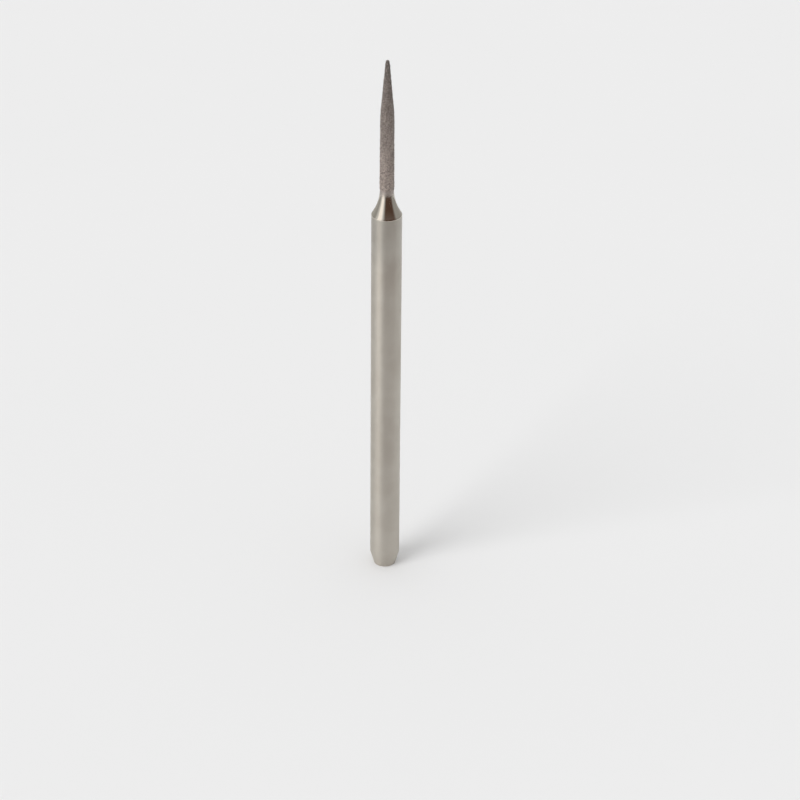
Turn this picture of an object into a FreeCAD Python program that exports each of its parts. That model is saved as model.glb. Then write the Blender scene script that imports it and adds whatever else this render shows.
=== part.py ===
# A dental bur: a flame-shaped diamond head on a straight-handpiece shank of 2.35 mm.
# Lengths are in millimetres. The bur stands on its rear face at the origin, and +Z runs
# along its axis to the tip. It is a steel blank, turned and ground from one bar, and a
# plated coat of diamond grit that closes over the blank's core.

import FreeCAD, Part
import math
import os

import Sketcher

SIZES = {
    # shank, from the rear face to the shoulder
    "shank_diameter": 2.35,
    "shank_length": 31.8,
    "rear_chamfer": 0.3,
    "shoulder_round": 0.25,
    # flare, from the shoulder to the neck, and the bare neck
    "flare_length": 2.05,
    "neck_diameter": 1.05,
    "neck_length": 0.1,
    # head, over the grit: it narrows a little to a soft bend, and then tapers to the tip
    "head_length": 10.55,
    "foot_diameter": 1.1,
    "bend_from_foot": 6.1,
    "bend_diameter": 1.045,
    "bend_radius": 13.5,
    # coat, and the rounded end of the core under it
    "core_tip_radius": 0.08,
    "coat_thickness": 0.07,
    "coat_foot_round": 0.02,
}

# Heights on the axis, as the sheet works them out from the rear face.
SHOULDER_HEIGHT = "Sizes.shank_length"
NECK_HEIGHT = SHOULDER_HEIGHT + " + Sizes.flare_length"
FOOT_HEIGHT = NECK_HEIGHT + " + Sizes.neck_length"
BEND_HEIGHT = FOOT_HEIGHT + " + Sizes.bend_from_foot"
TIP_HEIGHT = FOOT_HEIGHT + " + Sizes.head_length"

# Radii at the same places.
SHANK_RADIUS = "Sizes.shank_diameter / 2"
NECK_RADIUS = "Sizes.neck_diameter / 2"
FOOT_RADIUS = "Sizes.foot_diameter / 2"

# The head's outline is drawn at a depth below the finished grit: none for the coat's
# outside, and the coat's own thickness for the core that it covers.
OUTSIDE = "0"
CORE = "Sizes.coat_thickness"
CORE_FOOT_RADIUS = f"{FOOT_RADIUS} - {CORE}"

# A sketch counts an edge's points up from one, and its own two axes down from minus one.
START, END, CENTRE = range(1, 4)
LEVEL_AXIS, UPRIGHT_AXIS = range(-1, -3, -1)
ORIGIN = (LEVEL_AXIS, START)

QUARTER_TURN = math.pi / 2
HALF_TURN = math.pi
EDGE_TOLERANCE = 1e-4
SKETCH_NORMAL = FreeCAD.Vector(0, 0, 1)


def make_sheet(document):
    """Keeps every driving size in a cell of its own, under its name."""
    sheet = document.addObject("Spreadsheet::Sheet", "Sizes")
    for row, (name, value) in enumerate(SIZES.items(), start=1):
        sheet.set(f"A{row}", name.replace("_", " "))
        sheet.set(f"B{row}", str(value))
        sheet.setAlias(f"B{row}", name)
    document.recompute()
    return sheet


def read_size(sheet, expression):
    """Works out an expression of the sheet's sizes, as a plain number."""
    return float(sheet.evalExpression(expression.replace("Sizes.", "")))


def upward(lean):
    """Gives the direction of an edge that leans in from upright by an angle."""
    return FreeCAD.Vector(-math.sin(lean), math.cos(lean), 0)


def outward(lean):
    """Gives the direction square to the same edge, away from the axis."""
    return FreeCAD.Vector(math.cos(lean), math.sin(lean), 0)


class TurnedSection:
    """Half of a turned piece's section: a closed outline beside the upright axis."""

    def __init__(self, body, sheet, name):
        self.sheet = sheet
        self.sketch = body.newObject("Sketcher::SketchObject", name)
        planes = [item for item in body.Origin.OriginFeatures if item.Role == "XZ_Plane"]
        self.sketch.AttachmentSupport = (planes[0], [""])
        self.sketch.MapMode = "FlatFace"
        self.outline = []

    def point(self, radius, height):
        return FreeCAD.Vector(read_size(self.sheet, radius), read_size(self.sheet, height), 0)

    def add(self, shape, *ends):
        """Adds one edge, and remembers which end of it comes first along the outline."""
        edge = self.sketch.addGeometry(shape, False)
        self.outline.append((edge, *ends))
        return edge

    def line(self, start, end):
        return self.add(Part.LineSegment(self.point(*start), self.point(*end)), START, END)

    def arc(self, centre, radius, angles):
        """Makes an arc of a circle, anticlockwise from the first angle to the second."""
        circle = Part.Circle(FreeCAD.Vector(*centre, 0), SKETCH_NORMAL, radius)
        return Part.ArcOfCircle(circle, *angles)

    def relate(self, *constraint):
        return self.sketch.addConstraint(Sketcher.Constraint(*constraint))

    def measure(self, name, kind, *places_and_expression):
        """Adds a dimension, and binds it to the sheet under its own name."""
        *places, expression = places_and_expression
        size = read_size(self.sheet, expression)
        number = self.relate(kind, *places, size)
        self.sketch.renameConstraint(number, name)
        self.sketch.setExpression("Constraints." + name, expression)

    def set_radius(self, name, edge, end, expression):
        self.measure(name, "DistanceX", *ORIGIN, edge, end, expression)

    def set_height(self, name, edge, end, expression):
        self.measure(name, "DistanceY", *ORIGIN, edge, end, expression)

    def close(self, tangent_joints):
        """Joins each edge of the outline to the next, and the last to the first."""
        following = self.outline[1:] + self.outline[:1]
        for (edge, _, last), (next_edge, first, _) in zip(self.outline, following):
            smooth = {edge, next_edge} in tangent_joints
            self.relate("Tangent" if smooth else "Coincident", edge, last, next_edge, first)

    def flare_outline(self):
        """Adds the hollow arc from the shoulder in to the neck, which it joins upright."""
        neck = read_size(self.sheet, NECK_RADIUS)
        neck_height = read_size(self.sheet, NECK_HEIGHT)
        step = read_size(self.sheet, f"{SHANK_RADIUS} - {NECK_RADIUS}")
        drop = read_size(self.sheet, "Sizes.flare_length")
        hollow = (step ** 2 + drop ** 2) / (2 * step)
        turn = math.asin(drop / hollow)
        shape = self.arc((neck + hollow, neck_height), hollow, (HALF_TURN, HALF_TURN + turn))
        flare = self.add(shape, END, START)
        self.relate("Horizontal", flare, CENTRE, flare, START)
        return flare

    def head_outline(self, name, depth, inward=False):
        """Adds the head's side from foot to tip: a slight taper, a bend, a cone, a round tip.

        Each edge runs into the next without a corner, so outlines at different depths stay
        parallel. The two straight edges would meet at the bend's own point.
        """
        foot_radius = f"{FOOT_RADIUS} - {depth}"
        bend_point_radius = f"Sizes.bend_diameter / 2 - {depth}"
        bend_radius = f"Sizes.bend_radius - {depth}"
        tip_radius = f"Sizes.core_tip_radius + Sizes.coat_thickness - {depth}"
        tip_height = f"{TIP_HEIGHT} - {depth}"

        foot = self.point(foot_radius, FOOT_HEIGHT)
        bend_point = self.point(bend_point_radius, BEND_HEIGHT)
        bend = read_size(self.sheet, bend_radius)
        tip = read_size(self.sheet, tip_radius)
        tip_centre = read_size(self.sheet, tip_height) - tip

        # Each edge's lean from upright is also the angle of its outward side.
        rise = tip_centre - bend_point.y
        taper_lean = math.atan2(foot.x - bend_point.x, bend_point.y - foot.y)
        cone_lean = math.acos(tip / math.hypot(bend_point.x, rise)) - math.atan2(rise, bend_point.x)
        reach = bend * math.tan((cone_lean - taper_lean) / 2)
        bend_start = bend_point - reach * upward(taper_lean)
        bend_end = bend_point + reach * upward(cone_lean)
        bend_centre = bend_start - bend * outward(taper_lean)
        cone_end = FreeCAD.Vector(0, tip_centre, 0) + tip * outward(cone_lean)

        shapes = [
            Part.LineSegment(foot, bend_start),
            self.arc(bend_centre[:2], bend, (taper_lean, cone_lean)),
            Part.LineSegment(bend_end, cone_end),
            self.arc((0, tip_centre), tip, (cone_lean, QUARTER_TURN)),
        ]
        if inward:
            edges = [self.add(shape, END, START) for shape in reversed(shapes)]
            tip_arc, cone_line, bend_arc, taper_line = edges
        else:
            edges = [self.add(shape, START, END) for shape in shapes]
            taper_line, bend_arc, cone_line, tip_arc = edges

        mark = self.sketch.addGeometry(Part.Point(bend_point), True)
        self.relate("PointOnObject", mark, START, taper_line)
        self.relate("PointOnObject", mark, START, cone_line)
        self.set_radius(name + "BendPointRadius", mark, START, bend_point_radius)
        self.set_height(name + "BendPointHeight", mark, START, BEND_HEIGHT)
        self.measure(name + "BendRadius", "Radius", bend_arc, bend_radius)
        self.set_radius(name + "FootRadius", taper_line, START, foot_radius)
        self.set_height(name + "FootHeight", taper_line, START, FOOT_HEIGHT)
        self.relate("PointOnObject", tip_arc, CENTRE, UPRIGHT_AXIS)
        self.relate("PointOnObject", tip_arc, END, UPRIGHT_AXIS)
        self.measure(name + "TipRadius", "Radius", tip_arc, tip_radius)
        self.set_height(name + "TipHeight", tip_arc, END, tip_height)
        return [{taper_line, bend_arc}, {bend_arc, cone_line}, {cone_line, tip_arc}]


def make_body(document, label):
    body = document.addObject("PartDesign::Body", label)
    body.Label = label
    body.Placement = FreeCAD.Placement()
    return body


def revolve(body, section, name):
    """Turns a half section once round its upright axis."""
    turned = body.newObject("PartDesign::Revolution", name)
    turned.Profile = section.sketch
    turned.ReferenceAxis = (section.sketch, ["V_Axis"])
    turned.Angle = 360
    section.sketch.Document.recompute()
    return turned


def ring_edge(feature, radius, height):
    """Names the feature's round edge that has the given radius and height."""
    for number, edge in enumerate(feature.Shape.Edges, start=1):
        if not isinstance(edge.Curve, Part.Circle):
            continue
        centre = edge.Curve.Center
        off_axis = math.hypot(centre.x, centre.y)
        misses = (off_axis, edge.Curve.Radius - radius, centre.z - height)
        if max(abs(miss) for miss in misses) < EDGE_TOLERANCE:
            return f"Edge{number}"
    raise RuntimeError(f"{feature.Label} has no edge of radius {radius} at height {height}")


def dress_edge(body, kind, name, ring, property_name, expression):
    """Rounds or breaks one round edge of the body's last feature."""
    base = body.Tip
    radius, height = (read_size(body.Document.Sizes, place) for place in ring)
    feature = body.newObject(kind, name)
    feature.Base = (base, [ring_edge(base, radius, height)])
    feature.setExpression(property_name, expression)
    body.Document.recompute()
    return feature


def make_blank(document, sheet):
    """The steel blank: shank, flare, neck and the core inside the head."""
    body = make_body(document, "steel_blank")
    section = TurnedSection(body, sheet, "BlankSection")
    rear_face = section.line(("0", "0"), (SHANK_RADIUS, "0"))
    shank = section.line((SHANK_RADIUS, "0"), (SHANK_RADIUS, SHOULDER_HEIGHT))
    section.flare_outline()
    neck = section.line((NECK_RADIUS, NECK_HEIGHT), (NECK_RADIUS, FOOT_HEIGHT))
    ledge = section.line((NECK_RADIUS, FOOT_HEIGHT), (CORE_FOOT_RADIUS, FOOT_HEIGHT))
    smooth_joints = section.head_outline("Core", CORE)
    section.line(("0", f"{TIP_HEIGHT} - {CORE}"), ("0", "0"))
    section.close(smooth_joints)

    section.relate("Coincident", *ORIGIN, rear_face, START)
    section.relate("Horizontal", rear_face)
    section.relate("Vertical", shank)
    section.relate("Vertical", neck)
    section.relate("Horizontal", ledge)
    section.set_radius("ShankRadius", shank, START, SHANK_RADIUS)
    section.set_height("ShoulderHeight", shank, END, SHOULDER_HEIGHT)
    section.set_radius("NeckRadius", neck, START, NECK_RADIUS)
    section.set_height("NeckHeight", neck, START, NECK_HEIGHT)
    revolve(body, section, "TurnedBlank")

    dress_edge(
        body, "PartDesign::Chamfer", "RearChamfer", (SHANK_RADIUS, "0"),
        "Size", "Sizes.rear_chamfer",
    )
    dress_edge(
        body, "PartDesign::Fillet", "ShoulderRound", (SHANK_RADIUS, SHOULDER_HEIGHT),
        "Radius", "Sizes.shoulder_round",
    )
    return body


def make_coat(document, sheet):
    """The grit coat: an even layer over the core, open only where the neck comes out."""
    body = make_body(document, "diamond_coat")
    section = TurnedSection(body, sheet, "CoatSection")
    section.line((CORE_FOOT_RADIUS, FOOT_HEIGHT), (FOOT_RADIUS, FOOT_HEIGHT))
    outer_joints = section.head_outline("Outer", OUTSIDE)
    section.line(("0", TIP_HEIGHT), ("0", f"{TIP_HEIGHT} - {CORE}"))
    inner_joints = section.head_outline("Inner", CORE, inward=True)
    section.close(outer_joints + inner_joints)
    revolve(body, section, "PlatedCoat")

    dress_edge(
        body, "PartDesign::Fillet", "FootRound", (FOOT_RADIUS, FOOT_HEIGHT),
        "Radius", "min(Sizes.coat_foot_round; Sizes.coat_thickness * 0.8)",
    )
    return body


def check(document, bodies):
    """Stops before anything is written if a feature failed or a solid is unsound."""
    for item in document.Objects:
        if {"Invalid", "Error"} & set(item.State):
            raise RuntimeError(f"{item.Label} failed: {item.State}")
    for body in bodies:
        shape = body.Shape
        if shape.isNull() or not shape.isValid() or len(shape.Solids) != 1:
            raise RuntimeError(f"{body.Label} isn't one sound solid")


def export(bodies):
    os.makedirs("parts", exist_ok=True)
    for body in bodies:
        body.Shape.exportStep(f"parts/{body.Label}.step")
        box = body.Shape.BoundBox
        print(f"{body.Label}: {body.Shape.Volume:.4f} mm3, z {box.ZMin:.3f} to {box.ZMax:.3f}")


def main():
    document = FreeCAD.newDocument("DentalBur")
    sheet = make_sheet(document)
    bodies = [make_blank(document, sheet), make_coat(document, sheet)]
    document.recompute()
    check(document, bodies)
    export(bodies)


main()
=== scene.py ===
import math

import bpy
from bpy.props import FloatProperty, FloatVectorProperty, IntProperty, PointerProperty
from mathutils import Matrix, Vector


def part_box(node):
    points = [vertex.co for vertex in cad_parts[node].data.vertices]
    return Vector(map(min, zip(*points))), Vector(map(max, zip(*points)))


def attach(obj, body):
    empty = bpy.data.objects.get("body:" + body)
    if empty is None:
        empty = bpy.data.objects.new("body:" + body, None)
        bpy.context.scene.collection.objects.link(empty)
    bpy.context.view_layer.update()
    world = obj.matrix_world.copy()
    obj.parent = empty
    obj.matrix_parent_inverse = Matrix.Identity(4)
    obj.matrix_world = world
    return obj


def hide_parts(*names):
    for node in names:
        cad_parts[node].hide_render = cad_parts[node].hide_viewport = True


bl_info = {
    "name": "Dental Bur",
    "version": (1, 0, 0),
    "blender": (4, 5, 0),
    "location": "View3D > Sidebar > Bur",
    "description": "Models a flame-shaped diamond bur on a shank for a straight handpiece",
    "category": "Add Mesh",
}

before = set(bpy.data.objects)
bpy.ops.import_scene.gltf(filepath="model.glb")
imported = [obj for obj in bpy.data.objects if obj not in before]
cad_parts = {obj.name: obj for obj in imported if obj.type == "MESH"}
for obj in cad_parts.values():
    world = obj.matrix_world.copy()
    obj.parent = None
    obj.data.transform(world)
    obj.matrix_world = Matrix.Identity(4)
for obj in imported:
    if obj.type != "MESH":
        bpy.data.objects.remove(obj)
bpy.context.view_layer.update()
COAT_LOW, COAT_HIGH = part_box("diamond_coat")

MILLIMETRE = 0.001
FULL_TURN = 2 * math.pi
MERGE_DISTANCE = 1e-6

# How finely the pieces are drawn, round the axis and along their outlines.
BLANK_SEGMENTS = 128
BOND_SEGMENTS = 72
BED_SEGMENTS = 96
REAR_STEPS = 4
SHANK_STEPS = 40
SHOULDER_STEPS = 8
FLARE_STEPS = 38
CORE_SPACING = 0.25 * MILLIMETRE
CORE_TIP_STEPS = 4
BOND_INSIDE_SPACING = 0.5 * MILLIMETRE
BOND_SPACING = 0.055 * MILLIMETRE
BED_SPACING = 0.1 * MILLIMETRE
TIP_STEPS = 5
FOOT_STEPS = 4
EDGE_BREAK_SEGMENTS = 3

# Turns between faces that still look smooth, on steel and on plating.
STEEL_SMOOTH_TURN = math.radians(30)
PLATING_SMOOTH_TURN = math.radians(50)

# The plating's foot is rounded by this share of its thickness there.
FOOT_ROUNDING_SHARE = 0.5
LUMP_SIZE = 0.16 * MILLIMETRE

# Sizes of grains as shares of a middling one's width: a cube's side, a ball's radius,
# and the scales that the smallest and the largest grain are drawn at.
CUBE_SHARE = 0.82
BALL_SHARE = 0.52
SMALLEST_SCALE = 0.72
LARGEST_SCALE = 1.2

# Places tried for each square of the grain gap, and faces that a full head exceeds.
TRIES_PER_GAP = 6
FEWEST_GRAIN_FACES = 1000

# Where dullness ends on the shoulder, as a share of its rounding.
SHOULDER_FADE = 0.3
QUARTER_TURN = 0.25

# Floor, tent and camera. Heights and widths are in metres, the sensor in millimetres.
FLOOR_SIZE = 8
FLOOR_MOTTLE = 0.985
TENT_SEGMENTS = 96
TENT_RADIUS = 0.1
TENT_FOOT = 0.0002
TENT_TOP = 0.25
TENT_FADE_START = 0.16
TENT_FADE_END = 0.24
HAZE_START = 0.06
HAZE_END = 0.16
HAZE_SHARE = 0.17
WINDOW_TINT = (1, 0.96, 0.925)
FLANK_LIFT = 1.25
OVERHEAD_RISE = 0.85
SENSOR_WIDTH = 36
NEAREST_SEEN = 0.01

# Sockets that share a name with others of their node, and so are told by number.
MIX_FACTOR = 0
MIX_FIRST_COLOUR = 6
MIX_SECOND_COLOUR = 7
MIXED_COLOUR = 2
RANDOM_LEAST = 2
RANDOM_MOST = 3
RANDOM_SEED = 8
RANDOM_NUMBER = 1


def length(name, description, default):
    return FloatProperty(
        name=name, description=description, default=default, min=0,
        precision=6, subtype="DISTANCE", unit="LENGTH",
    )


def colour(name, description, default):
    return FloatVectorProperty(
        name=name, description=description, default=default, size=3, min=0, max=1,
        subtype="COLOR",
    )


def number(name, description, default):
    return FloatProperty(name=name, description=description, default=default, min=0)


def share(name, description, default):
    return FloatProperty(
        name=name, description=description, default=default, min=0, max=1, subtype="FACTOR",
    )


def turn_of(name, description, degrees):
    return FloatProperty(
        name=name, description=description, default=math.radians(degrees), subtype="ANGLE",
        unit="ROTATION",
    )


class BurShape(bpy.types.PropertyGroup):
    """Sizes of the bur, with heights measured from its rear face."""

    shank_diameter: length("Shank Diameter", "Diameter that the collet grips", 0.00235)
    shank_length: length("Shank Length", "Height of the unrounded shoulder", 0.0318)
    bright_height: length("Bright Height", "Where satin gives way to bright steel", 0.0317)
    rear_chamfer: length("Rear Chamfer", "Chamfer round the rear face", 0.0003)
    edge_break: length("Edge Break", "Rounding of the chamfer's two edges", 0.00003)
    shoulder_round: length("Shoulder Round", "Rounding where shank meets flare", 0.00025)
    neck_height: length("Neck Height", "Where the flare's hollow runs upright", 0.034)
    neck_diameter: length("Neck Diameter", "Diameter of the bare neck", 0.00105)
    foot_height: length("Head Foot Height", "Where the grit begins", COAT_LOW.z)
    foot_diameter: length("Head Foot Diameter", "Diameter over the grit there", 0.0011)
    bend_height: length("Bend Height", "Where the head bends in to its cone", 0.04005)
    bend_diameter: length("Bend Diameter", "Diameter over the grit there", 0.001045)
    bend_radius: length("Bend Radius", "Radius of that soft bend", 0.0135)
    tip_height: length("Tip Height", "Height of the tip over the grit", COAT_HIGH.z)
    core_tip_radius: length("Core Tip Radius", "Rounded end of the steel core", 0.00008)
    coat_thickness: length("Coat Thickness", "From the core to the grain tips", 0.00007)


class GritLook(bpy.types.PropertyGroup):
    """The plated coat: its grains, and the metal that holds them."""

    bond_depth: length("Bond Depth", "How far the plating lies below the grain tips", 0.00003)
    bond_swell: length("Bond Swell", "Height of the uneven plating", 0.000016)
    grain_size: length("Grain Size", "Width of a middling grain", 0.000088)
    grain_gap: length("Grain Gap", "Least distance between the middles of grains", 0.000074)
    grain_seat: length("Grain Seat", "How far grain middles stand over the plating", 0.000004)
    grain_seed: IntProperty(name="Grain Seed", description="Order of the grains", default=7)
    bond_colour: colour("Bond Colour", "Colour of the plated metal", (0.63, 0.55, 0.505))
    grain_dark: colour("Dark Grain", "Colour of the darkest grains", (0.145, 0.11, 0.093))
    grain_pale: colour("Pale Grain", "Colour of the palest grains", (0.505, 0.42, 0.37))
    tip_shade: share("Tip Shade", "How light the grit stays at the tip", 0.45)
    shade_height: length("Shade Height", "Where it starts to darken towards the tip", 0.035)
    bond_soot: share("Bond Soot", "How light the plating stays in its blotches", 0.62)
    bond_blotches: number("Bond Blotches", "Blotches per millimetre of plating", 1.6)
    bond_low: share("Bond Low", "Roughness of the smoothest plating", 0.35)
    bond_high: share("Bond High", "Roughness of the dullest plating", 0.65)
    pit_rate: number("Pit Rate", "Pits per millimetre of plating", 34.0)
    pit_depth: length("Pit Depth", "Depth of those pits", 0.000004)
    scuff_rate: number("Scuff Rate", "Scuffs per millimetre of crystal", 40.0)
    grain_low: share("Grain Low", "Roughness of the clearest crystal", 0.12)
    grain_high: share("Grain High", "Roughness of the dullest crystal", 0.55)
    grain_ior: number("Grain IOR", "How strongly the crystals bend light", 2.2)


class SteelLook(bpy.types.PropertyGroup):
    """The bare steel: a ground satin shank, and a bright turned flare and neck."""

    steel_colour: colour("Steel Colour", "Colour of clean steel", (0.605, 0.57, 0.51))
    stain_colour: colour("Stain Colour", "Colour of handled steel", (0.53, 0.48, 0.42))
    satin_low: share("Satin Low", "Roughness of the smoothest satin", 0.40)
    satin_high: share("Satin High", "Roughness of the roughest satin", 0.50)
    satin_rings: number("Satin Rings", "Grinding marks per millimetre", 22.0)
    satin_depth: length("Satin Depth", "Depth of those marks", 0.0000012)
    satin_blotches: number("Satin Blotches", "Blotches per millimetre of satin", 0.45)
    satin_spread: share("Satin Spread", "How far the marks spread a highlight", 0.8)
    stain_share: share("Stain Share", "How much the steel stains at most", 0.3)
    # Painted shade: the satin's colour darkens towards the shoulder, standing in for the darker
    # surroundings it mirrors up there; that band is also a little smoother.
    painted_shade_start: length("Painted Shade Start", "Where the satin starts to darken upwards", 0.0275)
    painted_shade_full: length("Painted Shade Full", "Where it is as dark as at the shoulder", 0.0295)
    painted_shade_level: share("Painted Shade Level", "How light the steel stays there", 0.8)
    upper_polish: share("Upper Polish", "How much smoother it is there", 0.1)
    skirt_height: length("Skirt Height", "Where the neck's plating starts to show", 0.0332)
    skirt_colour: colour("Skirt Colour", "Colour of the plating on the neck", (0.40, 0.35, 0.325))
    skirt_rise: share("Skirt Rise", "How much rougher shoulder and skirt are", 0.3)
    bright_low: share("Bright Low", "Roughness of the smoothest bright steel", 0.07)
    bright_high: share("Bright High", "Roughness of the dullest bright steel", 0.16)
    bright_rings: number("Bright Rings", "Turning marks per millimetre", 30.0)
    bright_depth: length("Bright Depth", "Depth of those marks", 0.00000016)
    bright_blotches: number("Bright Blotches", "Blotches per millimetre of bright steel", 1.2)


class StageLook(bpy.types.PropertyGroup):
    """Floor, light and camera."""

    floor_colour: colour("Floor Colour", "Colour of the floor and backdrop", (0.855, 0.855, 0.855))
    upper_colour: colour("Upper Colour", "What bright metal mirrors overhead", (0.50, 0.49, 0.48))
    window_light: number("Window Light", "Brightness of the tent's window", 1.5)
    opening_colour: colour("Opening Colour", "Dark of the tent's opening", (0.11, 0.066, 0.047))
    shade_colour: colour("Shade Colour", "Tent cloth away from the light", (0.42, 0.415, 0.40))
    sky_light: share("Sky Light", "Share of the light that comes from all round", 0.72)
    key_light: share("Key Light", "Share of the light that comes from the key lamp", 0.28)
    key_side: turn_of("Key Side", "How far left of the camera the key lamp stands", 52)
    key_height: turn_of("Key Height", "How high the key lamp stands", 38)
    key_spread: turn_of("Key Spread", "How wide the key lamp looks", 34)
    camera_height: turn_of("Camera Height", "How far the camera looks down", 31.4)
    camera_roll: turn_of("Camera Roll", "How far the camera leans", 0.53)
    camera_lens: FloatProperty(
        name="Lens", description="Focal length in millimetres", default=130.4, min=1,
        subtype="DISTANCE_CAMERA",
    )
    camera_distance: length("Camera Distance", "From the lens to the aim point", 0.23155)
    aim_height: length("Aim Height", "Height of the aim point on the bur", 0.00801)
    aim_left: length("Aim Left", "How far left of the picture's middle it shows", 0.00119)
    aim_below: length("Aim Below", "How far below the picture's middle it shows", 0.006215)


def sizes():
    return bpy.context.scene.bur_shape


# Outlines: lists of radius and height, from the rear end to the tip.


def arc_points(centre, radius, start, end, count):
    """Gives points along an arc, without its first one."""
    points = []
    for step in range(1, count + 1):
        angle = start + (end - start) * step / count
        points.append((centre[0] + radius * math.cos(angle), centre[1] + radius * math.sin(angle)))
    return points


def line_points(start, end, count):
    """Gives evenly spaced points along a line, without its first one."""
    return [
        tuple(a + (b - a) * step / count for a, b in zip(start, end))
        for step in range(1, count + 1)
    ]


def steps_over(start, end, spacing):
    return max(1, round(math.dist(start, end) / spacing))


def head_points(depth, spacing, tip_steps):
    """Follows the head's side from foot to tip, at a depth below the grain tips."""
    shape = sizes()
    foot = Vector((shape.foot_diameter / 2 - depth, shape.foot_height))
    bend_point = Vector((shape.bend_diameter / 2 - depth, shape.bend_height))
    bend = shape.bend_radius - depth
    tip = shape.core_tip_radius + shape.coat_thickness - depth
    tip_centre = shape.tip_height - depth - tip

    rise = tip_centre - bend_point.y
    taper_lean = math.atan2(foot.x - bend_point.x, bend_point.y - foot.y)
    cone_lean = math.acos(tip / math.hypot(bend_point.x, rise)) - math.atan2(rise, bend_point.x)
    reach = bend * math.tan((cone_lean - taper_lean) / 2)
    bend_start = bend_point - reach * Vector((-math.sin(taper_lean), math.cos(taper_lean)))
    bend_centre = bend_start - bend * Vector((math.cos(taper_lean), math.sin(taper_lean)))
    cone_end = (tip * math.cos(cone_lean), tip_centre + tip * math.sin(cone_lean))

    points = [tuple(foot)]
    points += line_points(foot, bend_start, steps_over(foot, bend_start, spacing))
    points += arc_points(bend_centre, bend, taper_lean, cone_lean, round(2 * reach / spacing))
    points += line_points(points[-1], cone_end, steps_over(points[-1], cone_end, spacing))
    points += arc_points((0, tip_centre), tip, cone_lean, math.pi / 2, tip_steps)
    return points[:-1] + [(0, points[-1][1])]


def flare_points():
    """Follows the shoulder's rounding and the hollow flare up to the head's foot."""
    shape = sizes()
    shank = shape.shank_diameter / 2
    neck = shape.neck_diameter / 2
    step = shank - neck
    drop = shape.neck_height - shape.shank_length
    hollow = (step ** 2 + drop ** 2) / (2 * step)
    centre = (neck + hollow, shape.neck_height)

    round_radius = shape.shoulder_round
    across = centre[0] - shank + round_radius
    down = math.sqrt((hollow + round_radius) ** 2 - across ** 2)
    round_centre = (shank - round_radius, shape.neck_height - down)
    turn = math.atan2(down, across)
    lean = math.asin((shape.neck_height - shape.foot_height) / hollow)

    points = [(shank, round_centre[1])]
    points += arc_points(round_centre, round_radius, 0, turn, SHOULDER_STEPS)
    points += arc_points(centre, hollow, math.pi + turn, math.pi + lean, FLARE_STEPS)
    return points


def blank_points():
    """Follows the blank: rear face, chamfer, shank, flare and the core inside the head."""
    shape = sizes()
    shank = shape.shank_diameter / 2
    chamfer = shape.rear_chamfer
    return (
        [(0, 0)]
        + line_points((0, 0), (shank - chamfer, 0), REAR_STEPS)
        + line_points((shank, chamfer), (shank, shape.bright_height), SHANK_STEPS)
        + flare_points()
        + head_points(shape.coat_thickness, CORE_SPACING, CORE_TIP_STEPS)
    )


def bond_points():
    """Follows the plated metal: down its inside on the core, then up its outside."""
    shape = sizes()
    depth = bpy.context.scene.grit_look.bond_depth
    inside = head_points(shape.coat_thickness, BOND_INSIDE_SPACING, CORE_TIP_STEPS)[::-1]
    outside = head_points(depth, BOND_SPACING, TIP_STEPS)
    edge, foot = outside[0]
    rounding = FOOT_ROUNDING_SHARE * (edge - inside[-1][0])
    centre = (edge - rounding, foot + rounding)
    corner = arc_points(centre, rounding, -math.pi / 2, 0, FOOT_STEPS)
    return inside + [(edge - rounding, foot)] + corner + outside[1:]


def bed_points():
    """Follows the surface that carries the middles of the grains."""
    look = bpy.context.scene.grit_look
    return head_points(look.bond_depth - look.grain_seat, BED_SPACING, TIP_STEPS)


# Modelling.


def edit_mode():
    bpy.ops.object.mode_set(mode="EDIT")


def object_mode():
    bpy.ops.object.mode_set(mode="OBJECT")


def settle_faces(piece):
    """Lists the faces in a fixed order, because spin lists them in a new one each run."""
    mesh = piece.data
    corners = [tuple(vertex.co) for vertex in mesh.vertices]
    faces = sorted(tuple(face.vertices) for face in mesh.polygons)
    mesh.clear_geometry()
    mesh.from_pydata(corners, [], faces)


def turn_piece(name, outline, segments):
    """Draws half an outline vertex by vertex, and spins it round the upright axis."""
    bpy.ops.object.select_all(action="DESELECT")
    radius, height = outline[0]
    bpy.ops.mesh.primitive_plane_add(size=MILLIMETRE, location=(0, 0, 0))
    piece = bpy.context.object
    piece.name = piece.data.name = name
    edit_mode()
    bpy.ops.mesh.merge(type="CENTER")
    bpy.ops.transform.translate(value=(radius, 0, height))
    for next_radius, next_height in outline[1:]:
        step = (next_radius - radius, 0, next_height - height)
        bpy.ops.mesh.extrude_vertices_move(TRANSFORM_OT_translate={"value": step})
        radius, height = next_radius, next_height
    bpy.ops.mesh.select_all(action="SELECT")
    bpy.ops.mesh.spin(steps=segments, angle=FULL_TURN, center=(0, 0, 0), axis=(0, 0, 1))
    bpy.ops.mesh.select_all(action="SELECT")
    bpy.ops.mesh.remove_doubles(threshold=MERGE_DISTANCE)
    bpy.ops.mesh.normals_make_consistent(inside=False)
    object_mode()
    settle_faces(piece)
    return piece


def apply_modifiers(piece):
    bpy.ops.object.select_all(action="DESELECT")
    piece.select_set(True)
    bpy.context.view_layer.objects.active = piece
    for modifier in list(piece.modifiers):
        bpy.ops.object.modifier_apply(modifier=modifier.name)


def model_grain(name, add_primitive, corner_share, stretch, unevenness, seed):
    """Models one diamond crystal with few faces: cut corners, uneven proportions."""
    bpy.ops.object.select_all(action="DESELECT")
    add_primitive()
    grain = bpy.context.object
    grain.name = grain.data.name = name
    edit_mode()
    bpy.ops.mesh.select_all(action="SELECT")
    if corner_share:
        bpy.ops.mesh.bevel(
            offset_type="PERCENT", offset_pct=corner_share, affect="VERTICES",
        )
        bpy.ops.mesh.select_all(action="SELECT")
        bpy.ops.mesh.remove_doubles(threshold=MERGE_DISTANCE)
    bpy.ops.transform.resize(value=stretch)
    size = bpy.context.scene.grit_look.grain_size
    bpy.ops.transform.vertex_random(offset=unevenness * size, uniform=1, seed=seed)
    bpy.ops.mesh.normals_make_consistent(inside=False)
    object_mode()
    return grain


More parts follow.
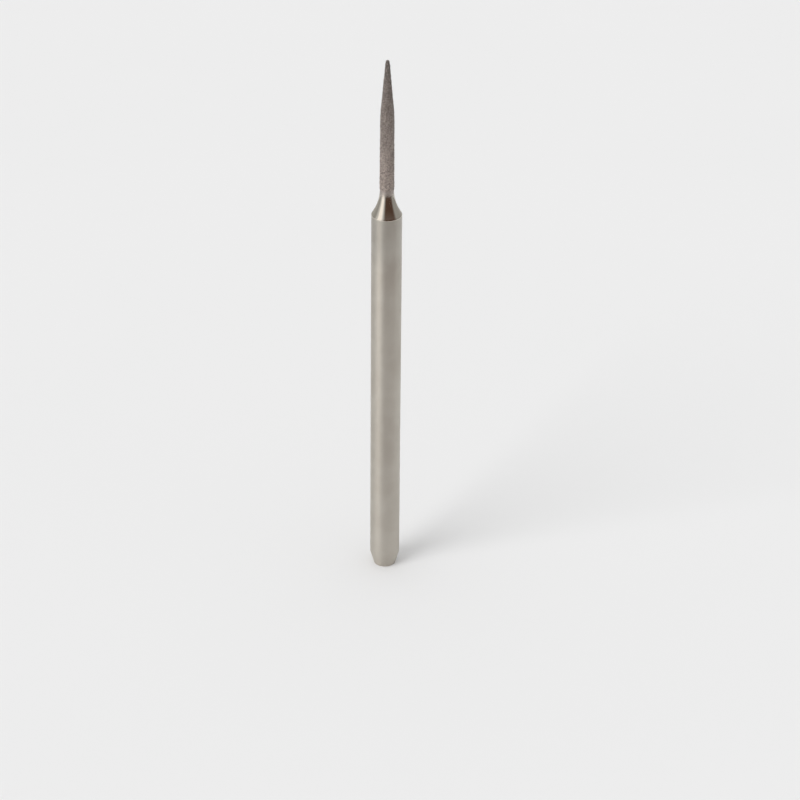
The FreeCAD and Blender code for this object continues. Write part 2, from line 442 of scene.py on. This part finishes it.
def model_grain_kinds():
    """Models the three kinds of crystal that the head is strewn with."""
    size = bpy.context.scene.grit_look.grain_size

    def cube():
        bpy.ops.mesh.primitive_cube_add(size=size * CUBE_SHARE)

    def ball():
        bpy.ops.mesh.primitive_ico_sphere_add(subdivisions=1, radius=size * BALL_SHARE)

    return [
        model_grain(
            "grain_cut_cube", cube, corner_share=50, stretch=(1.08, 1.0, 0.94),
            unevenness=0.05, seed=3,
        ),
        model_grain(
            "grain_block", cube, corner_share=30, stretch=(1.1, 0.92, 0.84),
            unevenness=0.05, seed=5,
        ),
        model_grain(
            "grain_splinter", ball, corner_share=0, stretch=(1.18, 0.86, 0.8),
            unevenness=0.14, seed=11,
        ),
    ]


# Materials.


def opaque(rgb):
    return (*rgb, 1)


def add_node(tree, kind, place, inputs=None, **settings):
    """Adds a node, with its settings, and with each input set to a value or linked."""
    made = tree.nodes.new(kind)
    made.location = place
    for name, value in settings.items():
        setattr(made, name, value)
    for socket, value in (inputs or {}).items():
        if isinstance(value, bpy.types.NodeSocket):
            tree.links.new(value, made.inputs[socket])
        else:
            made.inputs[socket].default_value = value
    return made


def new_group(name, inputs, outputs):
    """Starts a shader node group with named sockets, and gives it with its two ends."""
    group = bpy.data.node_groups.new(name, "ShaderNodeTree")
    for socket, kind, value in inputs:
        made = group.interface.new_socket(socket, in_out="INPUT", socket_type=kind)
        if value is not None:
            made.default_value = value
    for socket, kind in outputs:
        group.interface.new_socket(socket, in_out="OUTPUT", socket_type=kind)
    entry = add_node(group, "NodeGroupInput", (-900, 0))
    leaving = add_node(group, "NodeGroupOutput", (700, 0))
    return group, entry.outputs, leaving.inputs


def make_lathe_marks():
    """Rings that a lathe or grinding wheel leaves, counted along the outline."""
    group, given, result = new_group(
        "Lathe Marks",
        [
            ("Millimetres", "NodeSocketVector", None),
            ("Rings per Millimetre", "NodeSocketFloat", 8.0),
            ("Waver", "NodeSocketFloat", 0.25),
        ],
        [("Height", "NodeSocketFloat")],
    )
    parts = add_node(group, "ShaderNodeSeparateXYZ", (-700, 0), {0: given["Millimetres"]})
    flat = add_node(
        group, "ShaderNodeCombineXYZ", (-700, -200),
        {"X": parts.outputs["X"], "Y": parts.outputs["Y"]},
    )
    radius = add_node(
        group, "ShaderNodeVectorMath", (-520, -200), {0: flat.outputs[0]}, operation="LENGTH",
    )
    along = add_node(
        group, "ShaderNodeMath", (-340, -60),
        {0: parts.outputs["Z"], 1: radius.outputs["Value"]}, operation="SUBTRACT",
    )
    rings = add_node(
        group, "ShaderNodeMath", (-160, -60),
        {0: along.outputs[0], 1: given["Rings per Millimetre"]}, operation="MULTIPLY",
    )
    waver = add_node(
        group, "ShaderNodeVectorMath", (-340, -260),
        {0: flat.outputs[0], "Scale": given["Waver"]}, operation="SCALE",
    )
    waver_parts = add_node(group, "ShaderNodeSeparateXYZ", (-160, -260), {0: waver.outputs[0]})
    place = add_node(
        group, "ShaderNodeCombineXYZ", (20, -100),
        {"X": waver_parts.outputs["X"], "Y": waver_parts.outputs["Y"], "Z": rings.outputs[0]},
    )
    noise = add_node(
        group, "ShaderNodeTexNoise", (200, 0),
        {"Vector": place.outputs[0], "Scale": 1.0, "Detail": 3.0, "Roughness": 0.6},
    )
    group.links.new(noise.outputs[0], result["Height"])
    return group


def make_handling():
    """Soft blotches that handling and cleaning leave."""
    group, given, result = new_group(
        "Handling Blotches",
        [
            ("Millimetres", "NodeSocketVector", None),
            ("Blotches per Millimetre", "NodeSocketFloat", 0.5),
        ],
        [("Mask", "NodeSocketFloat")],
    )
    noise = add_node(
        group, "ShaderNodeTexNoise", (-300, 0),
        {
            "Vector": given["Millimetres"], "Scale": given["Blotches per Millimetre"],
            "Detail": 4.0, "Roughness": 0.55,
        },
    )
    spread = add_node(
        group, "ShaderNodeMapRange", (0, 0),
        {"Value": noise.outputs[0], "From Min": 0.34, "From Max": 0.66},
        interpolation_type="SMOOTHSTEP",
    )
    group.links.new(spread.outputs["Result"], result["Mask"])
    return group


def make_upward_shade():
    """Darkens a colour upwards, evenly from one height to another."""
    group, given, result = new_group(
        "Upward Shade",
        [
            ("Millimetres", "NodeSocketVector", None),
            ("Colour", "NodeSocketColor", None),
            ("Start Height", "NodeSocketFloat", 0.0),
            ("Full Height", "NodeSocketFloat", 1.0),
            ("Shade", "NodeSocketFloat", 0.5),
        ],
        [("Colour", "NodeSocketColor")],
    )
    parts = add_node(group, "ShaderNodeSeparateXYZ", (-700, 0), {0: given["Millimetres"]})
    shade = add_node(
        group, "ShaderNodeMapRange", (-400, 0),
        {
            "Value": parts.outputs["Z"], "From Min": given["Start Height"],
            "From Max": given["Full Height"], "To Min": 1.0, "To Max": given["Shade"],
        },
    )
    shaded = add_node(
        group, "ShaderNodeVectorMath", (-100, 0),
        {0: given["Colour"], "Scale": shade.outputs["Result"]}, operation="SCALE",
    )
    group.links.new(shaded.outputs[0], result["Colour"])
    return group


def shared_group(name, make):
    return bpy.data.node_groups.get(name) or make()


def start_material(name):
    """Starts a material, and gives its tree, its shader and its place in millimetres."""
    material = bpy.data.materials.new(name)
    material.use_nodes = True
    tree = material.node_tree
    shader = tree.nodes["Principled BSDF"]
    where = add_node(tree, "ShaderNodeTexCoord", (-1500, 0))
    scaled = add_node(
        tree, "ShaderNodeMapping", (-1300, 0),
        {"Vector": where.outputs["Object"], "Scale": (1 / MILLIMETRE,) * 3},
    )
    return material, tree, shader, scaled.outputs["Vector"]


def mix_colours(tree, place, factor, first, second):
    return add_node(
        tree, "ShaderNodeMix", place,
        {MIX_FACTOR: factor, MIX_FIRST_COLOUR: first, MIX_SECOND_COLOUR: second},
        data_type="RGBA",
    ).outputs[MIXED_COLOUR]


def remap(tree, place, value, low, high):
    return add_node(
        tree, "ShaderNodeMapRange", place, {"Value": value, "To Min": low, "To Max": high},
    ).outputs["Result"]


def fade_between(tree, place, height, start, end):
    """Grows softly from none at one height to all at another; heights are in metres."""
    return add_node(
        tree, "ShaderNodeMapRange", place,
        {"Value": height, "From Min": start / MILLIMETRE, "From Max": end / MILLIMETRE},
        interpolation_type="SMOOTHSTEP",
    ).outputs["Result"]


def shade_along(tree, place, millimetres, clean, start, end, shade):
    """Darkens a colour from one height up to another; heights are in metres."""
    shaded = add_node(
        tree, "ShaderNodeGroup", place,
        {
            "Millimetres": millimetres, "Colour": clean, "Start Height": start / MILLIMETRE,
            "Full Height": end / MILLIMETRE, "Shade": shade,
        },
        node_tree=shared_group("Upward Shade", make_upward_shade),
    )
    return shaded.outputs["Colour"]


def make_steel(name, rough_low, rough_high, rings, mark_depth, blotches):
    """Steel with rings round it: they run through its roughness and its relief.

    Gives the material, its tree, shader and place, and what feeds colour and roughness.
    """
    look = bpy.context.scene.steel_look
    material, tree, shader, place = start_material(name)
    marks = add_node(
        tree, "ShaderNodeGroup", (-1000, -200),
        node_tree=shared_group("Lathe Marks", make_lathe_marks),
    )
    marks.inputs["Rings per Millimetre"].default_value = rings
    tree.links.new(place, marks.inputs["Millimetres"])
    stains = add_node(
        tree, "ShaderNodeGroup", (-1000, 200),
        node_tree=shared_group("Handling Blotches", make_handling),
    )
    stains.inputs["Blotches per Millimetre"].default_value = blotches
    tree.links.new(place, stains.inputs["Millimetres"])

    stained = add_node(
        tree, "ShaderNodeMath", (-800, 200), {0: stains.outputs[0], 1: look.stain_share},
        operation="MULTIPLY",
    )
    metal = mix_colours(
        tree, (-560, 260), stained.outputs[0],
        opaque(look.steel_colour), opaque(look.stain_colour),
    )
    tree.links.new(metal, shader.inputs["Base Color"])
    uneven = add_node(
        tree, "ShaderNodeMath", (-760, -40),
        {0: marks.outputs[0], 1: stains.outputs[0]}, operation="ADD",
    )
    halved = add_node(
        tree, "ShaderNodeMath", (-600, -40), {0: uneven.outputs[0], 1: 0.5},
        operation="MULTIPLY",
    )
    roughness = remap(tree, (-420, -40), halved.outputs[0], rough_low, rough_high)
    tree.links.new(roughness, shader.inputs["Roughness"])
    relief = add_node(
        tree, "ShaderNodeBump", (-300, -320),
        {"Strength": 1.0, "Distance": mark_depth, "Height": marks.outputs[0]},
    )
    tree.links.new(relief.outputs[0], shader.inputs["Normal"])
    shader.inputs["Metallic"].default_value = 1
    return material, tree, shader, place, metal, roughness


def make_satin_steel():
    """The ground shank: the rings spread its highlights up and down, and painted shade darkens its
    colour towards the shoulder.
    """
    look = bpy.context.scene.steel_look
    material, tree, shader, place, metal, roughness = make_steel(
        "satin_steel", look.satin_low, look.satin_high,
        look.satin_rings, look.satin_depth, look.satin_blotches,
    )
    parts = add_node(tree, "ShaderNodeSeparateXYZ", (-620, 80), {0: place})
    upper_fade = fade_between(
        tree, (-420, 120), parts.outputs["Z"], look.painted_shade_start, look.painted_shade_full,
    )
    smoother = add_node(
        tree, "ShaderNodeMath", (-240, 80),
        {0: upper_fade, 1: -look.upper_polish, 2: roughness}, operation="MULTIPLY_ADD",
    )
    tree.links.new(smoother.outputs[0], shader.inputs["Roughness"])
    # Painted shade: the steel's colour darkens towards the shoulder, in place of the darker
    # surroundings it mirrors there.
    painted_shade_colour = shade_along(
        tree, (-240, 300), place, metal, look.painted_shade_start, look.painted_shade_full, look.painted_shade_level,
    )
    tree.links.new(painted_shade_colour, shader.inputs["Base Color"])
    tangent = add_node(
        tree, "ShaderNodeTangent", (-300, -560), direction_type="RADIAL", axis="Z",
    )
    tree.links.new(tangent.outputs[0], shader.inputs["Tangent"])
    shader.inputs["Anisotropic"].default_value = look.satin_spread
    shader.inputs["Anisotropic Rotation"].default_value = QUARTER_TURN
    return material


def make_bright_steel():
    """The turned flare and neck, nearly a mirror: duller on the shoulder and by the head."""
    look = bpy.context.scene.steel_look
    shape = sizes()
    material, tree, shader, place, metal, roughness = make_steel(
        "bright_steel", look.bright_low, look.bright_high,
        look.bright_rings, look.bright_depth, look.bright_blotches,
    )
    parts = add_node(tree, "ShaderNodeSeparateXYZ", (-620, 80), {0: place})
    shoulder = fade_between(
        tree, (-420, 120), parts.outputs["Z"],
        shape.shank_length + SHOULDER_FADE * shape.shoulder_round, shape.bright_height,
    )
    skirt = fade_between(
        tree, (-420, -120), parts.outputs["Z"], look.skirt_height, shape.foot_height,
    )
    dulled = add_node(
        tree, "ShaderNodeMath", (-240, 80), {0: shoulder, 1: skirt}, operation="MAXIMUM",
    )
    rough = add_node(
        tree, "ShaderNodeMath", (-80, 80),
        {0: dulled.outputs[0], 1: look.skirt_rise, 2: roughness}, operation="MULTIPLY_ADD",
    )
    tree.links.new(rough.outputs[0], shader.inputs["Roughness"])
    tree.links.new(
        mix_colours(tree, (-80, 260), skirt, metal, opaque(look.skirt_colour)),
        shader.inputs["Base Color"],
    )
    return material


def shade_towards_tip(tree, place, millimetres, grit_colour):
    """Darkens a colour of the grit towards the tip."""
    look = bpy.context.scene.grit_look
    return shade_along(
        tree, place, millimetres, grit_colour,
        look.shade_height, sizes().tip_height, look.tip_shade,
    )


def make_bond_metal():
    """The plated metal between the grains: dull, uneven and a little sooty."""
    look = bpy.context.scene.grit_look
    material, tree, shader, place = start_material("bond_metal")
    stains = add_node(
        tree, "ShaderNodeGroup", (-1000, 200),
        node_tree=shared_group("Handling Blotches", make_handling),
    )
    stains.inputs["Blotches per Millimetre"].default_value = look.bond_blotches
    tree.links.new(place, stains.inputs["Millimetres"])
    darker = tuple(look.bond_soot * part for part in look.bond_colour)
    metal = mix_colours(
        tree, (-560, 260), stains.outputs[0], opaque(look.bond_colour), opaque(darker),
    )
    tree.links.new(
        shade_towards_tip(tree, (-300, 260), place, metal), shader.inputs["Base Color"],
    )
    pits = add_node(
        tree, "ShaderNodeTexNoise", (-700, -200),
        {"Vector": place, "Scale": look.pit_rate, "Detail": 3.0, "Roughness": 0.6},
    )
    tree.links.new(
        remap(tree, (-420, -40), pits.outputs[0], look.bond_low, look.bond_high),
        shader.inputs["Roughness"],
    )
    relief = add_node(
        tree, "ShaderNodeBump", (-300, -320),
        {"Strength": 1.0, "Distance": look.pit_depth, "Height": pits.outputs[0]},
    )
    tree.links.new(relief.outputs[0], shader.inputs["Normal"])
    shader.inputs["Metallic"].default_value = 1
    return material


def make_grain_crystal():
    """The grains: brownish grey crystals, each of its own tone, that glint."""
    look = bpy.context.scene.grit_look
    material, tree, shader, place = start_material("grain_crystal")
    tone = add_node(tree, "ShaderNodeAttribute", (-1000, 200), attribute_name="grain_tone")
    crystal = mix_colours(
        tree, (-560, 260), tone.outputs["Fac"],
        opaque(look.grain_dark), opaque(look.grain_pale),
    )
    tree.links.new(
        shade_towards_tip(tree, (-300, 260), place, crystal), shader.inputs["Base Color"],
    )
    scuffs = add_node(
        tree, "ShaderNodeTexNoise", (-700, -200),
        {"Vector": place, "Scale": look.scuff_rate, "Detail": 2.0, "Roughness": 0.5},
    )
    tree.links.new(
        remap(tree, (-420, -40), scuffs.outputs[0], look.grain_low, look.grain_high),
        shader.inputs["Roughness"],
    )
    shader.inputs["IOR"].default_value = look.grain_ior
    return material


# Grains strewn over the head by a geometry modifier.


def make_strewing(kinds):
    """Strews grains of several kinds over a surface, and keeps only the grains."""
    look = bpy.context.scene.grit_look
    tree = bpy.data.node_groups.new("Strew Grains", "GeometryNodeTree")
    for way in ("INPUT", "OUTPUT"):
        tree.interface.new_socket("Geometry", in_out=way, socket_type="NodeSocketGeometry")
    entry = add_node(tree, "NodeGroupInput", (-800, 0))
    points = add_node(
        tree, "GeometryNodeDistributePointsOnFaces", (-600, 0),
        {
            "Mesh": entry.outputs[0], "Distance Min": look.grain_gap,
            "Density Max": TRIES_PER_GAP / look.grain_gap ** 2, "Seed": look.grain_seed,
        },
        distribute_method="POISSON",
    )
    bag = add_node(
        tree, "GeometryNodeCollectionInfo", (-600, -300),
        {"Collection": kinds, "Separate Children": True, "Reset Children": True},
    )
    turn = add_node(
        tree, "FunctionNodeRandomValue", (-600, -500),
        {"Min": (0, 0, 0), "Max": (FULL_TURN,) * 3, "Seed": look.grain_seed + 1},
        data_type="FLOAT_VECTOR",
    )
    size = add_node(
        tree, "FunctionNodeRandomValue", (-600, -700),
        {
            RANDOM_LEAST: SMALLEST_SCALE, RANDOM_MOST: LARGEST_SCALE,
            RANDOM_SEED: look.grain_seed + 2,
        },
        data_type="FLOAT",
    )
    strewn = add_node(
        tree, "GeometryNodeInstanceOnPoints", (-300, 0),
        {
            "Points": points.outputs["Points"], "Instance": bag.outputs[0],
            "Pick Instance": True, "Rotation": turn.outputs[0],
            "Scale": size.outputs[RANDOM_NUMBER],
        },
    )
    tone = add_node(
        tree, "FunctionNodeRandomValue", (-300, -400), {RANDOM_SEED: look.grain_seed + 3},
        data_type="FLOAT",
    )
    toned = add_node(
        tree, "GeometryNodeStoreNamedAttribute", (0, 0),
        {
            "Geometry": strewn.outputs[0], "Name": "grain_tone",
            "Value": tone.outputs[RANDOM_NUMBER],
        },
        data_type="FLOAT", domain="INSTANCE",
    )
    real = add_node(tree, "GeometryNodeRealizeInstances", (200, 0), {0: toned.outputs[0]})
    add_node(tree, "NodeGroupOutput", (400, 0), {0: real.outputs[0]})
    return tree


class BUR_OT_turn_blank(bpy.types.Operator):
    """Turn the steel blank: shank, flare, neck and the core inside the head"""

    bl_idname = "bur.turn_blank"
    bl_label = "Turn Steel Blank"

    def execute(self, context):
        shape = sizes()
        piece = turn_piece("steel_blank_finished", blank_points(), BLANK_SEGMENTS)
        corners = piece.modifiers.new("Broken Edges", "BEVEL")
        corners.width = shape.edge_break
        corners.segments = EDGE_BREAK_SEGMENTS
        corners.limit_method = "ANGLE"
        corners.angle_limit = STEEL_SMOOTH_TURN
        apply_modifiers(piece)
        bpy.ops.object.shade_smooth_by_angle(angle=STEEL_SMOOTH_TURN)
        piece.data.materials.append(make_satin_steel())
        piece.data.materials.append(make_bright_steel())
        for face in piece.data.polygons:
            face.material_index = int(face.center.z > shape.bright_height)
        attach(piece, "root")
        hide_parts("steel_blank")
        return {"FINISHED"}


class BUR_OT_plate_head(bpy.types.Operator):
    """Plate the head: the uneven metal that holds the grains on the core"""

    bl_idname = "bur.plate_head"
    bl_label = "Plate Head"

    def execute(self, context):
        look = context.scene.grit_look
        piece = turn_piece("grit_bond", bond_points(), BOND_SEGMENTS)
        middle = Vector((0, 0, sizes().bend_height))
        raised = [v.index for v in piece.data.vertices if v.normal.dot(v.co - middle) > 0]
        piece.vertex_groups.new(name="outside").add(raised, 1, "REPLACE")
        lumps = bpy.data.textures.new("plating_lumps", "CLOUDS")
        lumps.noise_scale = LUMP_SIZE
        lumps.noise_depth = 1
        swell = piece.modifiers.new("Uneven Plating", "DISPLACE")
        swell.texture = lumps
        swell.texture_coords = "LOCAL"
        swell.strength = look.bond_swell
        swell.mid_level = 0.5
        swell.vertex_group = "outside"
        apply_modifiers(piece)
        bpy.ops.object.shade_smooth_by_angle(angle=PLATING_SMOOTH_TURN)
        piece.data.materials.append(make_bond_metal())
        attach(piece, "root")
        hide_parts("diamond_coat")
        return {"FINISHED"}


class BUR_OT_strew_grains(bpy.types.Operator):
    """Strew the head with diamond grains, evenly but in no order"""

    bl_idname = "bur.strew_grains"
    bl_label = "Strew Grains"

    def execute(self, context):
        grains = model_grain_kinds()
        kinds = bpy.data.collections.new("grain_kinds")
        context.scene.collection.children.link(kinds)
        for grain in grains:
            for home in list(grain.users_collection):
                home.objects.unlink(grain)
            kinds.objects.link(grain)
        piece = turn_piece("diamond_grains", bed_points(), BED_SEGMENTS)
        strewing = piece.modifiers.new("Strew Grains", "NODES")
        strewing.node_group = make_strewing(kinds)
        apply_modifiers(piece)
        if len(piece.data.polygons) < FEWEST_GRAIN_FACES:
            raise RuntimeError("the head has hardly any grains")
        piece.data.materials.clear()
        piece.data.materials.append(make_grain_crystal())
        bpy.ops.object.shade_flat()
        for grain in grains:
            bpy.data.meshes.remove(grain.data)
        bpy.data.collections.remove(kinds)
        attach(piece, "root")
        return {"FINISHED"}


def make_floor_material():
    look = bpy.context.scene.stage_look
    material, tree, shader, place = start_material("pale_floor")
    paper = add_node(
        tree, "ShaderNodeTexNoise", (-700, 100),
        {"Vector": place, "Scale": 0.03, "Detail": 2.0, "Roughness": 0.5},
    )
    darker = tuple(FLOOR_MOTTLE * part for part in look.floor_colour)
    tree.links.new(
        mix_colours(
            tree, (-400, 100), paper.outputs[0], opaque(look.floor_colour), opaque(darker),
        ),
        shader.inputs["Base Color"],
    )
    shader.inputs["Roughness"].default_value = 1
    shader.inputs["Specular IOR Level"].default_value = 0
    return material


def make_tent_material():
    """The light tent's cloth: a bright window, a dark opening, and pale cloth between.

    The cloth changes with the angle round the bur: 0 degrees is in front, and the left
    side, as the camera sees it, has the negative angles.
    """
    look = bpy.context.scene.stage_look
    window = tuple(part * look.window_light for part in WINDOW_TINT)
    flank = tuple(FLANK_LIFT * part for part in look.shade_colour)
    stops = (
        (-180, flank), (-130, flank), (-100, look.shade_colour), (-75, look.floor_colour),
        (-67, window), (-45, window), (-33, look.floor_colour),
        (-24, look.shade_colour), (-12, look.opening_colour), (58, look.opening_colour),
        (84, look.shade_colour), (115, look.shade_colour), (150, flank), (180, flank),
    )
    material = bpy.data.materials.new("tent_cloth")
    material.use_nodes = True
    tree = material.node_tree
    tree.nodes.clear()
    where = add_node(tree, "ShaderNodeTexCoord", (-1200, 0))
    parts = add_node(tree, "ShaderNodeSeparateXYZ", (-1000, 0), {0: where.outputs["Object"]})
    forward = add_node(
        tree, "ShaderNodeMath", (-820, -120), {0: parts.outputs["Y"], 1: -1},
        operation="MULTIPLY",
    )
    side = add_node(
        tree, "ShaderNodeMath", (-640, 0), {0: parts.outputs["X"], 1: forward.outputs[0]},
        operation="ARCTAN2",
    )
    round_share = add_node(
        tree, "ShaderNodeMapRange", (-460, 0),
        {"Value": side.outputs[0], "From Min": -math.pi, "From Max": math.pi},
    )
    ramp = add_node(tree, "ShaderNodeValToRGB", (-260, 0), {0: round_share.outputs["Result"]})
    ramp.color_ramp.interpolation = "EASE"
    brightest = max(window)
    elements = ramp.color_ramp.elements
    elements.remove(elements[1])
    for degrees, cloth in stops:
        place = (degrees + 180) / 360
        element = elements[0] if place == 0 else elements.new(place)
        element.color = opaque(part / brightest for part in cloth)
    fade = add_node(
        tree, "ShaderNodeMapRange", (-260, 260),
        {"Value": parts.outputs["Z"], "From Min": TENT_FADE_START, "From Max": TENT_FADE_END},
        interpolation_type="SMOOTHSTEP",
    )
    haze = add_node(
        tree, "ShaderNodeMapRange", (-260, 460),
        {
            "Value": parts.outputs["Z"], "From Min": HAZE_START, "From Max": HAZE_END,
            "To Max": HAZE_SHARE,
        },
    )
    cloth = add_node(
        tree, "ShaderNodeEmission", (220, 0),
        {
            "Color": mix_colours(
                tree, (40, 0), haze.outputs["Result"], ramp.outputs[0],
                opaque(part / brightest for part in look.floor_colour),
            ),
            "Strength": brightest,
        },
    )
    clear = add_node(tree, "ShaderNodeBsdfTransparent", (220, -160))
    mixed = add_node(
        tree, "ShaderNodeMixShader", (420, 0),
        {0: fade.outputs["Result"], 1: cloth.outputs[0], 2: clear.outputs[0]},
    )
    add_node(tree, "ShaderNodeOutputMaterial", (620, 0), {0: mixed.outputs[0]})
    return material


def set_world(scene):
    """Lights from all round. Metal mirrors a pale room that is greyer overhead."""
    look = scene.stage_look
    world = bpy.data.worlds.new("studio")
    world.use_nodes = True
    scene.world = world
    tree = world.node_tree
    tree.nodes.clear()
    where = add_node(tree, "ShaderNodeTexCoord", (-900, 0))
    parts = add_node(tree, "ShaderNodeSeparateXYZ", (-720, 0), {0: where.outputs["Generated"]})
    rise = add_node(
        tree, "ShaderNodeMapRange", (-540, 0),
        {"Value": parts.outputs["Z"], "From Min": 0.0, "From Max": OVERHEAD_RISE},
        interpolation_type="SMOOTHSTEP",
    )
    ray = add_node(tree, "ShaderNodeLightPath", (-900, 500))
    overhead = add_node(
        tree, "ShaderNodeMath", (-340, 100),
        {0: rise.outputs["Result"], 1: ray.outputs["Is Glossy Ray"]}, operation="MULTIPLY",
    )
    seen_colour = mix_colours(
        tree, (-160, 100), overhead.outputs[0],
        opaque(look.floor_colour), opaque(look.upper_colour),
    )
    seen = add_node(tree, "ShaderNodeBackground", (60, 100), {"Color": seen_colour})
    light = add_node(
        tree, "ShaderNodeBackground", (60, -60),
        {"Color": (1, 1, 1, 1), "Strength": look.sky_light},
    )
    mirrored = add_node(
        tree, "ShaderNodeMath", (-340, 400),
        {0: ray.outputs["Is Glossy Ray"], 1: ray.outputs["Is Transmission Ray"]},
        operation="MAXIMUM",
    )
    looked_at = add_node(
        tree, "ShaderNodeMath", (-160, 400),
        {0: mirrored.outputs[0], 1: ray.outputs["Is Camera Ray"]}, operation="MAXIMUM",
    )
    mixed = add_node(
        tree, "ShaderNodeMixShader", (260, 60),
        {0: looked_at.outputs[0], 1: light.outputs[0], 2: seen.outputs[0]},
    )
    add_node(tree, "ShaderNodeOutputWorld", (460, 60), {0: mixed.outputs[0]})


def add_floor():
    bpy.ops.object.select_all(action="DESELECT")
    bpy.ops.mesh.primitive_plane_add(size=FLOOR_SIZE)
    floor = bpy.context.object
    floor.name = "floor"
    floor.data.materials.append(make_floor_material())
    return floor


def add_tent():
    """A light tent round the bur, which only shiny surfaces mirror."""
    outline = [(TENT_RADIUS, TENT_FOOT), (TENT_RADIUS, TENT_TOP)]
    tent = turn_piece("light_tent", outline, TENT_SEGMENTS)
    tent.data.materials.append(make_tent_material())
    tent.visible_camera = False
    tent.visible_diffuse = False
    tent.visible_shadow = False
    tent.visible_transmission = False
    return tent


def add_key_lamp(look):
    """A wide soft lamp, so far off that the whole floor gets the same light."""
    bpy.ops.object.select_all(action="DESELECT")
    side, height = look.key_side, look.key_height
    towards = Vector((
        -math.sin(side) * math.cos(height), -math.cos(side) * math.cos(height), math.sin(height),
    ))
    bpy.ops.object.light_add(type="SUN", location=towards)
    lamp = bpy.context.object
    lamp.name = "key_lamp"
    lamp.rotation_mode = "QUATERNION"
    lamp.rotation_quaternion = towards.to_track_quat("Z", "Y")
    lamp.data.energy = math.pi * look.key_light / math.sin(height)
    lamp.data.angle = look.key_spread
    lamp.visible_glossy = False


def add_camera(look):
    """Stands the camera where the bur shows as in the photograph."""
    bpy.ops.object.select_all(action="DESELECT")
    turn = Matrix.Rotation(math.radians(90) - look.camera_height, 4, "X")
    turn = turn @ Matrix.Rotation(look.camera_roll, 4, "Z")
    aim = Vector((0, 0, look.aim_height))
    offset = turn @ Vector((look.aim_left, look.aim_below, look.camera_distance))
    bpy.ops.object.camera_add(location=aim + offset, rotation=turn.to_euler())
    camera = bpy.context.object
    camera.data.lens = look.camera_lens
    camera.data.sensor_width = SENSOR_WIDTH
    camera.data.clip_start = NEAREST_SEEN
    bpy.context.scene.camera = camera


class BUR_OT_set_stage(bpy.types.Operator):
    """Set the stage: floor, soft light and a camera at the photograph's angle"""

    bl_idname = "bur.set_stage"
    bl_label = "Set Stage"

    def execute(self, context):
        look = context.scene.stage_look
        add_floor()
        add_tent()
        set_world(context.scene)
        add_key_lamp(look)
        add_camera(look)
        context.scene.view_settings.view_transform = "Standard"
        return {"FINISHED"}


OPERATORS = (BUR_OT_turn_blank, BUR_OT_plate_head, BUR_OT_strew_grains, BUR_OT_set_stage)
SETTINGS = {
    "bur_shape": BurShape, "steel_look": SteelLook, "grit_look": GritLook,
    "stage_look": StageLook,
}


class BUR_PT_sidebar(bpy.types.Panel):
    bl_label = "Dental Bur"
    bl_idname = "BUR_PT_sidebar"
    bl_space_type = "VIEW_3D"
    bl_region_type = "UI"
    bl_category = "Bur"

    def draw(self, context):
        for operator in OPERATORS:
            self.layout.operator(operator.bl_idname)
        for attribute, kind in SETTINGS.items():
            box = self.layout.box()
            for name in kind.__annotations__:
                box.prop(getattr(context.scene, attribute), name)


def register():
    for kind in (*SETTINGS.values(), *OPERATORS, BUR_PT_sidebar):
        bpy.utils.register_class(kind)
    for attribute, kind in SETTINGS.items():
        setattr(bpy.types.Scene, attribute, PointerProperty(type=kind))


def unregister():
    for attribute in SETTINGS:
        delattr(bpy.types.Scene, attribute)
    for kind in reversed((*SETTINGS.values(), *OPERATORS, BUR_PT_sidebar)):
        bpy.utils.unregister_class(kind)


def main():
    register()
    bpy.ops.bur.turn_blank()
    bpy.ops.bur.plate_head()
    bpy.ops.bur.strew_grains()
    bpy.ops.bur.set_stage()


if __name__ == "__main__":
    main()
